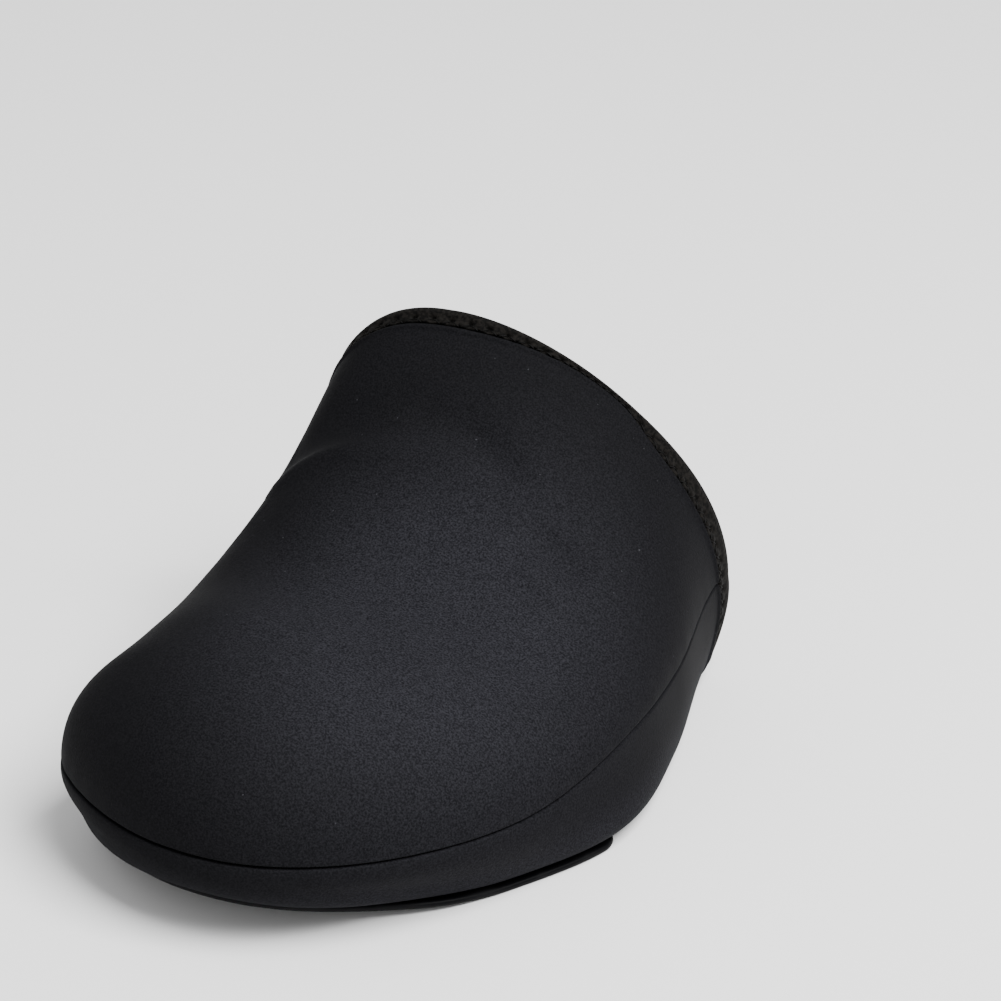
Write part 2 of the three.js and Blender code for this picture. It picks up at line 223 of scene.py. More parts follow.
PATCH_COLUMNS = 34
EDGE_CROWDING = 0.8
TAPE_ROWS = 1200
FLAT_COLUMNS = 19
FOLD_COLUMNS = 13
INSIDE_COLUMNS = 8
THREAD_ROWS = 7
THREAD_SIDES = 6
OUTLINE_POINTS = 400
ACROSS_POINTS = 121
CORNER_POINTS = 60
STRAIGHT_POINTS = 40
HORN_POINTS = 400
HEM_POINTS = 6001
SEAM_POINTS = 800
WELD = 2e-4  # mm within which points are joined

# Softening: how often the panels' columns are averaged, between which columns before the ridge it
# grows, over how many beside the rolled edge it fades, between which after the seam it starts, and
# how often the tape's rows are averaged
SOFT_PASSES = 16
RIDGE_SOFT = (26, 8)
ROLL_SOFT = 7.0
SEAM_CRISP = (5, 9)
TAPE_NORMAL_PASSES = 24
TAPE_POINT_PASSES = 6

# Camera: fitted to the outline, seam and hem in the photograph
IMAGE_SIZE = 1001
CAMERA_AZIMUTH = 23.34
CAMERA_ELEVATION = 27.46
CAMERA_ROLL = 2.57
CAMERA_DISTANCE = 800.53
CAMERA_FOCUS = 3570.75  # focal length in pixels
CAMERA_TARGET = (-2.27, 135.52, 38.24)
SENSOR = 36.0

# Studio, in metres and watts
FLOOR_REACH = 4.0
FLOOR_COLOUR = (0.86, 0.86, 0.86, 1)
FLOOR_ROUGHNESS = 0.9
SKY_COLOUR = (1.0, 1.0, 1.0, 1)
SKY_STRENGTH = 0.8


# Form

def smoothstep(value, low, high):
    t = np.clip((value - low) / (high - low), 0, 1)
    return t * t * (3 - 2 * t)


def lerp(start, end, share):
    return start + (end - start) * share


def bell(distance, width):
    """1 in the middle, falling off over the width."""
    return np.exp(-(distance / width) ** 2)


def lengths(points):
    """Distance along a row of points, to each of them."""
    return np.concatenate(([0], np.cumsum(np.linalg.norm(np.diff(points, axis=0), axis=-1))))


def along(table, key, column, value):
    """Cubic pieces through one column of a table; a row's slope is the weighted mean beside it."""
    at, to = table[key], table[column]
    span = np.diff(at)
    slope = np.diff(to) / span
    middle = (span[1:] * slope[:-1] + span[:-1] * slope[1:]) / (span[1:] + span[:-1])
    tangent = np.concatenate((slope[:1], middle, slope[-1:]))
    i = np.clip(np.searchsorted(at, value) - 1, 0, len(span) - 1)
    t = (value - at[i]) / span[i]
    start = to[i] * (1 + 2 * t) + tangent[i] * span[i] * t
    end = to[i + 1] * (3 - 2 * t) + tangent[i + 1] * span[i] * (t - 1)
    return start * (1 - t) ** 2 + end * t ** 2


def section(column, back):
    return along(SECTIONS, "back", column, back / COVER_LENGTH)


def side_section(side, outer, inner, back):
    return np.where(side > 0, section(outer, back), section(inner, back))


def seam_z(back):
    return SEAM_HEIGHT * section("seam", back)


def ridge_z(back):
    return lerp(TOE_BOX_HEIGHT, INSTEP_HEIGHT, section("ridge", back))


def lean_in(back):
    return BAND_LEAN * section("lean", back)


def under_z(y):
    """Height of the underside: room for patch and tape, plus a toe spring that grows squared."""
    spring = TOE_SPRING * np.clip(1 - y / SPRING_LENGTH, 0, 1) ** 2
    towards_hem = smoothstep(y, CLEAT_BACK, CLEAT_BACK + CLEAT_LENGTH / 2)
    return spring + GAP + lerp(PATCH_THICKNESS, TAPE_THICKNESS, towards_hem)


def outline_x(side, back):
    """Plan outline: half width times a superellipse that rounds off the toe."""
    sweep = np.where(side > 0, OUTER_TOE_SWEEP, INNER_TOE_SWEEP)
    half = side * BALL_WIDTH * side_section(side, "outer", "inner", back)
    left = np.clip(1 - back / sweep, 0, 1)
    return lerp(TOE_TIP_SIDE, half, (1 - left ** TOE_SQUARENESS) ** (1 / TOE_SQUARENESS))


def inset_point(side, back, inset):
    """Point of the underside a distance inside the outline, along the outline's normal."""
    step = np.maximum(np.minimum(back, GAP), 1e-9)
    ahead = outline_x(side, back + step) - outline_x(side, np.maximum(back - step, 0))
    run = np.hypot(2 * step, ahead)
    normal_x = np.where(back > 0, side * 2 * step / run, 0.0)
    normal_y = np.where(back > 0, -side * ahead / run, -1.0)
    x = outline_x(side, back) - normal_x * inset
    y = back - normal_y * inset
    return x, y, under_z(y)


def ridge_back(back):
    """The ridge end of an arch stays back at the dome: a soft maximum of back and DOME_BACK."""
    beyond = back - DOME_BACK
    return DOME_BACK + (beyond + np.hypot(beyond, DOME_SOFTNESS)) / 2


def arch_rise(back):
    return ridge_z(ridge_back(back)) - seam_z(back)


def arch_power(side, back):
    return 2 / side_section(side, "outer_full", "inner_full", back)


def arch_point(side, back, turn):
    """Superellipse quarter from the seam (0) to the ridge (1)."""
    angle = np.clip(turn, 0, 1) * math.pi / 2
    power = arch_power(side, back)
    across = 1 - np.clip(np.cos(angle), 0, 1) ** power
    top = ridge_back(back)
    x = lerp(outline_x(side, back), RIDGE_SIDE * section("side", top), across)
    z = seam_z(back) + arch_rise(back) * np.sin(angle) ** power
    return np.stack((x, lerp(back, top, across), z), axis=-1)


def band_point(side, back, turn):
    """Wall from the seam (0), rolled edge, and lip under the sole (-1)."""
    down = np.clip(turn / ROLL_TURN, 0, 1)
    roll = np.clip((turn - ROLL_TURN) / (LIP_TURN - ROLL_TURN), 0, 1) * math.pi / 2
    under = np.clip((turn - LIP_TURN) / (-1 - LIP_TURN), 0, 1)
    bulge = BAND_BULGE * 4 * down * (1 - down)
    rolled_in = EDGE_RADIUS * (1 - np.cos(roll)) + LIP * under
    x, y, floor = inset_point(side, back, lean_in(back) * down ** 2 + rolled_in - bulge)
    z = lerp(seam_z(back), floor + EDGE_RADIUS, down) - EDGE_RADIUS * np.sin(roll)
    return np.stack((x, y, z), axis=-1)


def form(run, turn):
    """Outer face of the whole cover.

    run goes from the outer hem (1) round the toe (0) to the inner hem (-1), as a share of the length
    to the hem. turn is 0 at the seam, 1 at the ridge, beyond 1 on the other side, -1 at the lip.
    """
    run, turn = (np.array(each) for each in np.broadcast_arrays(run, turn))
    over = turn > 1
    run = np.where(over, -run, run)
    turn = np.where(over, 2 - turn, turn)
    side = np.where(run < 0, INNER, OUTER)
    hem = COVER_LENGTH * along(HEMLINE, "around", "back", np.where(side > 0, turn, 2 - turn))
    back = np.abs(run) * hem
    return np.where((turn < 0)[..., None], band_point(side, back, turn), arch_point(side, back, turn))


def unit(vectors):
    return vectors / np.maximum(np.linalg.norm(vectors, axis=-1, keepdims=True), 1e-12)


def form_normal(run, turn, low=-1.0, high=2.0):
    """Outward normal of form(), across the differences over small steps inside low to high."""
    step = 1e-4
    ahead = form(run + step / 10, turn) - form(run - step / 10, turn)
    up = form(run, np.minimum(turn + step, high)) - form(run, np.maximum(turn - step, low))
    return unit(np.cross(ahead, up))


def turn_above(run, height):
    """Turn of the arch that lies a height in mm over the seam."""
    side = np.where(run < 0, INNER, OUTER)
    back = np.abs(run) * COVER_LENGTH
    share = (height / arch_rise(back)) ** (1 / arch_power(side, back))
    return np.arcsin(share) * 2 / math.pi


def turn_below(run, depth):
    """Turn of the band's wall that lies a depth in mm under the seam."""
    back = np.abs(run) * COVER_LENGTH
    return ROLL_TURN * depth / (seam_z(back) - under_z(back) - EDGE_RADIUS)


# Meshes

def place_in_frame():
    """Move in mm from the form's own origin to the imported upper's; their heights are the same."""
    run = np.linspace(-1, 1, 2001)[:, None]
    lip_to_arch = np.linspace(-1, 0.3, 40)
    corner = form(run, lip_to_arch).reshape(-1, 3).min(axis=0)
    move = np.array(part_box("upper")[0]) / MM - corner
    move[2] = 0
    return move


PLACE = place_in_frame()


def grid_quads(rows, columns, loop_rows=False, loop_columns=False):
    """Four-sided faces of a grid of points; a looped grid closes on itself."""
    index = np.arange(rows * columns).reshape(rows, columns)
    if loop_rows:
        index = np.concatenate((index, index[:1]))
    if loop_columns:
        index = np.concatenate((index, index[:, :1]), axis=1)
    corners = (index[:-1, :-1], index[1:, :-1], index[1:, 1:], index[:-1, 1:])
    return np.stack(corners, axis=-1).reshape(-1, 4)


def volume(points, quads):
    """Signed volume inside closed quads: six times the sum of their corners' triple products."""
    a, b, c, d = (points[quads[:, i]] for i in range(4))
    return float((a * (np.cross(b, c) + np.cross(c, d))).sum()) / 6


def put(name, points, quads, material, slot, *nodes):
    """Joined, smooth, outward-facing mesh of points in mm, riding on the part."""
    points = np.asarray(points, float).reshape(-1, 3)
    if volume(points, quads) < 0:
        quads = quads[:, ::-1]
    mesh = bpy.data.meshes.new(name)
    mesh.from_pydata(((points + PLACE) * MM).tolist(), [], quads.tolist())
    work = bmesh.new()
    work.from_mesh(mesh)
    bmesh.ops.remove_doubles(work, verts=work.verts, dist=WELD * MM)
    work.to_mesh(mesh)
    work.free()
    mesh.shade_smooth()
    mesh.materials.append(material)
    piece = bpy.data.objects.new(name, mesh)
    bpy.context.collection.objects.link(piece)
    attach(piece, "root")
    if nodes:
        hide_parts(*nodes)


def shell(name, face, normal, outer, inner, material, slot, *nodes):
    """Closed sheet: a face pressed in by outer, and by inner; they meet at the free edges."""
    front = face - normal * outer[..., None]
    rear = face - normal * inner[..., None]
    quads = grid_quads(*face.shape[:2])
    points = np.concatenate((front.reshape(-1, 3), rear.reshape(-1, 3)))
    quads = np.concatenate((quads, quads[:, ::-1] + front[..., 0].size))
    put(name, points, quads, material, slot, *nodes)


def rolled(distance, thickness, reach=1.0):
    """Depth of a sheet's face near its edge: a quarter ellipse, half the thickness high and reach
    times that long."""
    radius = thickness / 2
    share = np.clip(distance / (reach * radius), 0, 1)
    return radius * (1 - np.sqrt(np.maximum(1 - (1 - share) ** 2, 0)))


def softened(points, passes, share, mirrored):
    """Running mean over the columns; mirrored carries it over the ridge to the other side."""
    share = share[None, :, None] / 2
    for _ in range(passes):
        last = points[::-1, -2:-1] if mirrored else points[:, -1:]
        before = np.concatenate((points[:, :1], points[:, :-1]), axis=1)
        after = np.concatenate((points[:, 1:], last), axis=1)
        points = points + share * ((before + after) / 2 - points)
    return points


def fold_height(points):
    """Sum of the folds: height times a bell of the distance to each fold's curve, fading at its ends."""
    height = np.zeros(points.shape[:-1])
    for rise, width, places in FOLDS:
        around, back = np.array(places, float).T
        table = {"stop": np.arange(len(places), dtype=float), "around": around, "back": back}
        stop = np.linspace(0, len(places) - 1, FOLD_STEPS)
        at = along(table, "stop", "around", stop)
        side = np.where(at > 1, INNER, OUTER)
        curve = arch_point(side, along(table, "stop", "back", stop), np.where(at > 1, 2 - at, at))
        distance = np.linalg.norm(points[..., None, :] - curve, axis=-1)
        nearest = distance.argmin(axis=-1)
        fade = np.sin(math.pi * np.linspace(0, 1, FOLD_STEPS)) ** FOLD_FADE
        height += rise * fade[nearest] * bell(distance.min(axis=-1), width)
    return height


# Finishes

class Signal:
    """A node's output. Its operators add Math nodes."""

    def __init__(self, finish, socket):
        self.finish = finish
        self.socket = socket

    def math(self, operation, first, second):
        return self.finish.node("ShaderNodeMath", {"operation": operation}, {0: first, 1: second})

    def __add__(self, other):
        return self.math("ADD", self, other)

    def __rsub__(self, other):
        return self.math("SUBTRACT", other, self)

    def __mul__(self, other):
        return self.math("MULTIPLY", self, other)

    __radd__ = __add__
    __rmul__ = __mul__


class Finish:
    """A material and what goes into its shader."""

    def __init__(self, name, constants):
        self.material = bpy.data.materials.new(name)
        self.material.use_nodes = True
        self.tree = self.material.node_tree
        self.shader = self.tree.nodes["Principled BSDF"]
        for socket, value in constants.items():
            self.shader.inputs[socket].default_value = value
        self.place = self.node("ShaderNodeTexCoord", output="Object")

    def node(self, kind, settings=None, inputs=None, output=0):
        """Adds a node, sets its settings, then its sockets' values or links."""
        node = self.tree.nodes.new(kind)
        for key, value in (settings or {}).items():
            setattr(node, key, value)
        for key, value in (inputs or {}).items():
            if isinstance(value, Signal):
                self.tree.links.new(value.socket, node.inputs[key])
            else:
                node.inputs[key].default_value = value
        return Signal(self, node.outputs[output])

    def noise(self, size, detail=2.0, stretch=(1, 1, 1)):
        """Noise from 0 to 1 with features about size mm across."""
        scaled = self.node("ShaderNodeMapping", None, {"Vector": self.place, "Scale": stretch})
        inputs = {"Vector": scaled, "Scale": 1 / (size * MM), "Detail": detail}
        return self.node("ShaderNodeTexNoise", None, inputs)

    def ramp(self, signal, low, high):
        """0 below low, 1 above high, smooth between."""
        settings = {"interpolation_type": "SMOOTHSTEP"}
        return self.node("ShaderNodeMapRange", settings, {"Value": signal, "From Min": low, "From Max": high})

    def mix(self, share, first, second):
        """Colour between two colours."""
        inputs = {"Factor": share, 6: first, 7: second}
        return self.node("ShaderNodeMix", {"data_type": "RGBA"}, inputs, 2)

    def bump(self, height, depth, under=None):
        """Normal of a height from 0 to 1 that stands depth mm high."""
        inputs = {"Height": height, "Distance": depth * MM}
        if under:
            inputs["Normal"] = under
        return self.node("ShaderNodeBump", None, inputs)

    def feed(self, signals):
        for socket, signal in signals.items():
            self.tree.links.new(signal.socket, self.shader.inputs[socket])
        return self.material


def neoprene_finish():
    """Matt nylon-faced neoprene: speckled knitted grain, with a painted pool of light over the toe box,
    painted shade towards the hem, painted floor-bounce light at the foot and tiny painted glints.
    """
    cloth = Finish("neoprene", {"Specular IOR Level": 0.02, "Sheen Weight": 0.007, "Sheen Roughness": 0.3})
    speckle = cloth.noise(0.4, 3)
    grain = cloth.noise(0.9, 2)
    cloud = cloth.noise(16, 2)
    painted_glint = cloth.noise(0.7, 0)
    # Painted light: a pool of lighter colour round a point over the toe box, fading to darker painted shade
    # towards the hem and down the side band.
    middle = tuple((np.array(PAINTED_LIGHT_MIDDLE) + PLACE) * PAINTED_LIGHT_FADE * MM)
    faded = cloth.node("ShaderNodeMapping", None, {"Vector": cloth.place, "Scale": PAINTED_LIGHT_FADE})
    distance = cloth.node("ShaderNodeVectorMath", {"operation": "DISTANCE"}, {0: faded, 1: middle}, 1)
    height = cloth.node("ShaderNodeSeparateXYZ", None, {"Vector": cloth.place}, 2)
    # Painted floor-bounce light: the cloth's colour turns lighter over its lowest few millimetres.
    foot = 1 - cloth.ramp(height, *PAINTED_BOUNCE_HEIGHTS)
    painted_light_share = 1 - (1 - 0.7 * foot) * cloth.ramp(distance, *PAINTED_LIGHT_RADII)
    loops = cloth.ramp(speckle, 0.27, 0.76)
    # Lit and shaded copies of the same knitted colour: the first is painted light, the second painted shade,
    # chosen by the painted light share.
    lit_knit = cloth.mix(loops, (0.005, 0.005, 0.0063, 1), (0.0202, 0.0202, 0.0242, 1))
    shaded_knit = cloth.mix(loops, (0.0035, 0.0035, 0.0041, 1), (0.0078, 0.0077, 0.0088, 1))
    base = cloth.mix(painted_light_share * (0.8 + 0.4 * cloud), shaded_knit, lit_knit)
    # Painted glints: a few tiny specks of lighter colour.
    base = cloth.mix(cloth.ramp(painted_glint, 0.88, 0.91), base, (0.03, 0.03, 0.034, 1))
    rough = 0.62 + 0.12 * speckle + 0.08 * cloud
    normal = cloth.bump(grain, 0.06, cloth.bump(speckle, 0.09))
    return cloth.feed({"Base Color": base, "Roughness": rough, "Normal": normal})


def sole_finish():
    """Coarser hard-wearing fabric of the under panel."""
    cloth = Finish("sole_fabric", {"Specular IOR Level": 0.3, "Sheen Weight": 0.08})
    weave = cloth.noise(0.7, 2, (1, 0.45, 1))
    base = cloth.mix(cloth.ramp(weave, 0.35, 0.65), (0.009, 0.009, 0.010, 1), (0.022, 0.022, 0.024, 1))
    rough = 0.75 + 0.15 * weave
    return cloth.feed({"Base Color": base, "Roughness": rough, "Normal": cloth.bump(weave, 0.14)})


def rubber_finish():
    """Dark moulded rubber with a fine pebble grip and worn, duller places."""
    rubber = Finish("patch_rubber", {"Specular IOR Level": 0.05})
    pebbles = {"Vector": rubber.place, "Scale": 700}
    pebble = rubber.node("ShaderNodeTexVoronoi", {"feature": "SMOOTH_F1"}, pebbles)
    worn = rubber.ramp(rubber.noise(9, 3), 0.45, 0.7)
    base = rubber.mix(worn, (0.0025, 0.0025, 0.003, 1), (0.006, 0.006, 0.0065, 1))
    grip = rubber.bump(1 - pebble, 0.05)
    return rubber.feed({"Base Color": base, "Roughness": 0.42 + 0.22 * worn, "Normal": grip})


def tape_finish():
    """Brown-black ribbed binding tape, its ribs running round the hem."""
    tape = Finish("binding_tape", {"Specular IOR Level": 0.06, "Sheen Weight": 0.01})
    rib = tape.noise(0.8, 3)
    cloud = tape.noise(5, 2)
    base = tape.mix(tape.ramp(rib, 0.36, 0.64), (0.0009, 0.0008, 0.0007, 1), (0.0062, 0.0054, 0.0047, 1))
    rough = 0.72 + 0.16 * cloud
    return tape.feed({"Base Color": base, "Roughness": rough, "Normal": tape.bump(rib, 0.22)})


def thread_finish():
    """Twisted black thread with a slight gloss."""
    thread = Finish("thread", {"Specular IOR Level": 0.08})
    twist = thread.noise(0.3, 1)
    base = thread.mix(twist, (0.0012, 0.0011, 0.0011, 1), (0.003, 0.0028, 0.0027, 1))
    rough = 0.5 + 0.2 * twist
    return thread.feed({"Base Color": base, "Roughness": rough, "Normal": thread.bump(twist, 0.05)})


NEOPRENE = neoprene_finish()
SOLE_FABRIC = sole_finish()
RUBBER = rubber_finish()
TAPE = tape_finish()
THREAD_FINISH = thread_finish()


# Panels of the upper

def crowded(count):
    """Shares from 0 to 1, crowded at the toe."""
    return (np.arange(count + 1) / count) ** TOE_CROWDING


def both_sides(half):
    """run from the inner hem round the toe to the outer hem, from its values on one side."""
    return np.concatenate((-half[:0:-1], half))


def panel_runs():
    """run of the panels' rows: crowded at the toe, and near the hem at HEM_TAIL's distances."""
    tail = np.array(HEM_TAIL) / COVER_LENGTH
    body = (1 - tail[0] - TAIL_STEP / COVER_LENGTH) * crowded(HALF_ROWS)
    return both_sides(np.concatenate((body, 1 - tail)))


def tape_width(around):
    return along(RIM, "around", "width", around)


def hem_press(around, before_hem):
    """The wall is pressed thinner under the tape and swells to a thin roll in front of it."""
    ahead = before_hem - tape_width(around)
    sunk = TAPE_SINK * (1 - smoothstep(ahead, -TAPE_SHOULDER, 0.0))
    return sunk - HEM_ROLL * bell(ahead - HEM_ROLL_WIDTH, HEM_ROLL_WIDTH)


def curl(around, before_hem):
    """Depth of the curled hem: it grows squared over the last CURL_REACH mm."""
    return along(RIM, "around", "curl", around) * np.maximum(1 - before_hem / CURL_REACH, 0) ** 2


def seam_pucker(seam, height):
    """Soft waves above the seam, whose length drifts along it."""
    along_seam = lengths(seam)
    drift = PUCKER_DRIFT * np.sin(along_seam / PUCKER_DRIFT_LENGTH)
    wave = np.sin(along_seam * 2 * math.pi / PUCKER_LENGTH + drift)[:, None]
    return SEAM_PUCKER * wave * bell(height, PUCKER_REACH)


def sheet_depths(edge, press):
    """Depth of a sheet's outer face, pressed in, and of its inner face, from the way to its edge."""
    roll = rolled(edge, WALL, SEAM_TIGHTNESS)
    at_edge = edge <= 0
    inner = np.where(at_edge, WALL / 2, WALL - roll)
    outer = np.minimum(roll + press * smoothstep(edge, 0, 1), inner - THINNEST)
    return np.where(at_edge, WALL / 2, outer), inner


def top_panel():
    """Cloth over toe box and instep: each side's arches from the seam (0) to the ridge (1)."""
    run = panel_runs()[:, None]
    near = turn_above(run, np.array(SEAM_HEIGHTS))
    far = lerp(near[:, -1:], 1.0, np.linspace(0, 1, ARCH_COLUMNS)[1:])
    turn = np.concatenate((near, far), axis=1)
    run = np.broadcast_to(run, turn.shape)
    face = form(run, turn)
    normal = form_normal(run, turn, 0.0)
    # Both sides meet in one point of the ridge at the toe, which has no normal of its own
    middle = len(run) // 2
    normal[middle, -1] = normal[middle + 1, -1]
    count = turn.shape[1]
    ridge_share = smoothstep(np.arange(count), count - RIDGE_SOFT[0], count - RIDGE_SOFT[1])
    face = softened(face, SOFT_PASSES, ridge_share, True)
    height = face[..., 2] - face[:, :1, 2]
    before_hem = (1 - np.abs(run)) * COVER_LENGTH
    inside = smoothstep(height, *FOLDS_OVER_SEAM) * smoothstep(before_hem, *FOLDS_BEFORE_HEM)
    around = np.where(run < 0, 2 - turn, turn)
    face = face + normal * (fold_height(face) * inside - curl(around, before_hem))[..., None]
    press = seam_pucker(face[:, 0], height) + hem_press(around, before_hem)
    outer, inner = sheet_depths(np.minimum(height, before_hem), press)
    face[:, 0, 2] -= SEAM_TOUCH
    shell("top_panel", face, normal, outer, inner, NEOPRENE, "neoprene", "upper")


def side_band():
    """Cloth below the seam: its wall, the rolled edge at the foot, and the lip underneath."""
    run = panel_runs()[:, None]
    near = turn_below(run, np.array(BAND_DEPTHS))
    wall = lerp(near[:, -1:], ROLL_TURN, np.linspace(0, 1, WALL_COLUMNS)[1:])
    roll = np.linspace(ROLL_TURN, LIP_TURN, ROLL_COLUMNS)[1:]
    lip = np.linspace(LIP_TURN, -1, LIP_COLUMNS)[1:]
    foot = np.concatenate((roll, lip))
    turn = np.concatenate((near, wall, np.broadcast_to(foot, (len(run), len(foot)))), axis=1)
    run = np.broadcast_to(run, turn.shape)
    face = form(run, turn)
    normal = form_normal(run, turn, -1.0, 0.0)
    column = np.arange(turn.shape[1])
    first_roll = len(BAND_DEPTHS) + WALL_COLUMNS - 1
    soft = bell(column - first_roll, ROLL_SOFT) * smoothstep(column, *SEAM_CRISP)
    face = softened(face, SOFT_PASSES, soft, False)
    normal = unit(softened(normal, SOFT_PASSES, soft, False))
    step = np.linalg.norm(np.diff(face, axis=1), axis=-1)
    from_seam = np.concatenate((np.zeros((len(run), 1)), np.cumsum(step, axis=1)), axis=1)
    to_lip = from_seam[:, -1:] - from_seam
    before_hem = (1 - np.abs(run)) * COVER_LENGTH
    edge = np.minimum(np.minimum(from_seam, to_lip), before_hem)
    around = np.where(run < 0, 2 - turn, turn)
    face = face - normal * curl(around, before_hem)[..., None]
    face[:, 0, 2] += SEAM_TOUCH
    press = hem_press(around, before_hem) * (1 - smoothstep(-turn, -ROLL_TURN, -LIP_TURN))
    outer, inner = sheet_depths(edge, press)
    shell("side_band", face, normal, outer, inner, NEOPRENE, "neoprene")


# Under panel and patch

def polar_reach(x, y, angle):
    """Distance from the middle of the cleat opening to a closed outline in the given directions."""
    x, y = x - CLEAT_SIDE, y - CLEAT_BACK
    at = np.arctan2(y, x)
    order = np.argsort(at)
    return np.interp(angle, at[order], np.hypot(x, y)[order], period=2 * math.pi)


def ray(angle, reach):
    """Plan point that lies a reach from the middle of the cleat opening."""
    return CLEAT_SIDE + reach * np.cos(angle), CLEAT_BACK + reach * np.sin(angle)


def cleat_reach(angle, margin):
    """Distance from the middle of the cleat opening to its edge, grown by a margin.

    The opening is a rectangle with round corners, worked out in one quarter and mirrored.
    """
    half_x = CLEAT_WIDTH / 2 + margin
    half_y = CLEAT_LENGTH / 2 + margin
    radius = CLEAT_CORNER + margin
    turn = np.linspace(0, math.pi / 2, CORNER_POINTS)
    straight = np.linspace(0, 1, STRAIGHT_POINTS)
    x = half_x - radius + radius * np.cos(turn)
    y = half_y - radius + radius * np.sin(turn)
    x = np.concatenate((np.full_like(straight, half_x), x, (half_x - radius) * (1 - straight)))
    y = np.concatenate(((half_y - radius) * straight, y, np.full_like(straight, half_y)))
    at = np.arctan2(y, x)
    folded = np.abs((angle + math.pi / 2) % math.pi - math.pi / 2)
    return np.interp(folded, at, np.hypot(x, y))


def plan_outline(inset):
    """Plan outline at an inset inside the side band's foot, closed straight across at the hem."""
    run = both_sides(crowded(OUTLINE_POINTS))
    side = np.where(run < 0, INNER, OUTER)
    around = np.where(run < 0, 3.0, -1.0)
    back = np.abs(run) * COVER_LENGTH * along(HEMLINE, "around", "back", around)
    x, y, _ = inset_point(side, back, lean_in(back) + inset(back))
    across = np.linspace(0, 1, ACROSS_POINTS)[1:-1]
    return [np.concatenate((each, lerp(each[-1], each[0], across))) for each in (x, y)]


def plan_normal(points):
    """Upward normal of a nearly level surface, from the slope of the underside."""
    step = 0.01
    slope = (under_z(points[..., 1] + step) - under_z(points[..., 1] - step)) / (2 * step)
    return unit(np.stack((np.zeros_like(slope), -slope, np.ones_like(slope)), axis=-1))


def eased(count):
    """Shares from 0 to 1 with both ends crowded."""
    t = np.linspace(0, 1, count)
    return lerp(t, smoothstep(t, 0, 1), EDGE_CROWDING)


def under_panel():
    """Ring between the cleat opening and the side band's lip: share 0 to 1 from one to the other."""
    angle = np.linspace(0, 2 * math.pi, PANEL_ROWS + 1)[:-1, None]
    outline = plan_outline(lambda back: EDGE_RADIUS + LIP - SEAM_TOUCH)
    share = eased(PANEL_COLUMNS)
    reach = lerp(cleat_reach(angle, 0), polar_reach(*outline, angle), share)
    x, y = ray(angle, reach)
    face = np.stack((x, y, under_z(y)), axis=-1)
    normal = -plan_normal(face)
    width = reach[:, -1:] - reach[:, :1]
    edge = np.minimum(share, 1 - share) * width
    roll = rolled(edge, SOLE_THICKNESS)
    front = face - normal * roll[..., None]
    rear = face - normal * (SOLE_THICKNESS - roll)[..., None]
    ring = np.concatenate((front, rear[:, -2:0:-1]), axis=1)
    quads = grid_quads(*ring.shape[:2], True, True)
    put("under_panel", ring, quads, SOLE_FABRIC, "sole_fabric", "sole_panel")


def grip_patch():
    """Crescent round the toe between two outlines, with round ends beside the cleat opening."""
    outer_x, outer_y = plan_outline(patch_inset)
    start, stop = patch_ends(outer_x, outer_y)
    share_along = np.linspace(0, 1, PATCH_ROWS)[:, None]
    outer_angle = lerp(stop[0], start[0], share_along)
    inner_angle = lerp(stop[1], start[1], share_along)
    outer = np.stack(ray(outer_angle, polar_reach(outer_x, outer_y, outer_angle)), axis=-1)
    inner = np.stack(ray(inner_angle, cleat_reach(inner_angle, CLEAT_MARGIN)), axis=-1)
    arc = lengths(outer[:, 0])
    from_end = np.minimum(arc, arc[-1] - arc)[:, None]
    narrow = np.sqrt(1 - np.clip(1 - from_end / PATCH_CORNER, 0, 1) ** 2)
    share = lerp(0.5, eased(PATCH_COLUMNS), narrow)
    plan = outer + (inner - outer) * share[..., None]
    face = np.concatenate((plan, under_z(plan[..., 1:])), axis=-1)
    up = plan_normal(face)
    width = np.linalg.norm(inner - outer, axis=-1)
    from_side = np.minimum(share - share[:, :1], share[:, -1:] - share) * width
    edge = np.minimum(from_side, from_end)
    roll = np.where(narrow > 0, rolled(edge, PATCH_THICKNESS), PATCH_THICKNESS / 2)
    front = face - up * (GAP + PATCH_THICKNESS - roll)[..., None]
    rear = face - up * (GAP + roll)[..., None]
    ring = np.concatenate((front, rear[:, -2:0:-1]), axis=1)
    quads = grid_quads(*ring.shape[:2], False, True)
    put("grip_patch", ring, quads, RUBBER, "patch_rubber", "toe_patch")


def patch_inset(back):
    return lerp(PATCH_TOE_MARGIN, PATCH_MARGIN, smoothstep(back, 0, PATCH_TOE_BLEND))


def patch_ends(outer_x, outer_y):
    """Angles of outer and inner edge where each horn ends, PATCH_LENGTH behind the toe."""
    quarters = {OUTER: (-math.pi / 2, 0), INNER: (-math.pi, -math.pi / 2)}
    ends = []
    for side, quarter in quarters.items():
        off = np.where(side * outer_x < 0, np.inf, np.abs(outer_y - PATCH_LENGTH))
        outer = math.atan2(PATCH_LENGTH - CLEAT_BACK, outer_x[off.argmin()] - CLEAT_SIDE)
        turn = np.linspace(*quarter, HORN_POINTS)
        y = ray(turn, cleat_reach(turn, CLEAT_MARGIN))[1]
        inner = turn[np.abs(y - PATCH_LENGTH).argmin()]
        ends.append((outer, inner))
    return ends


# Binding tape round the hem

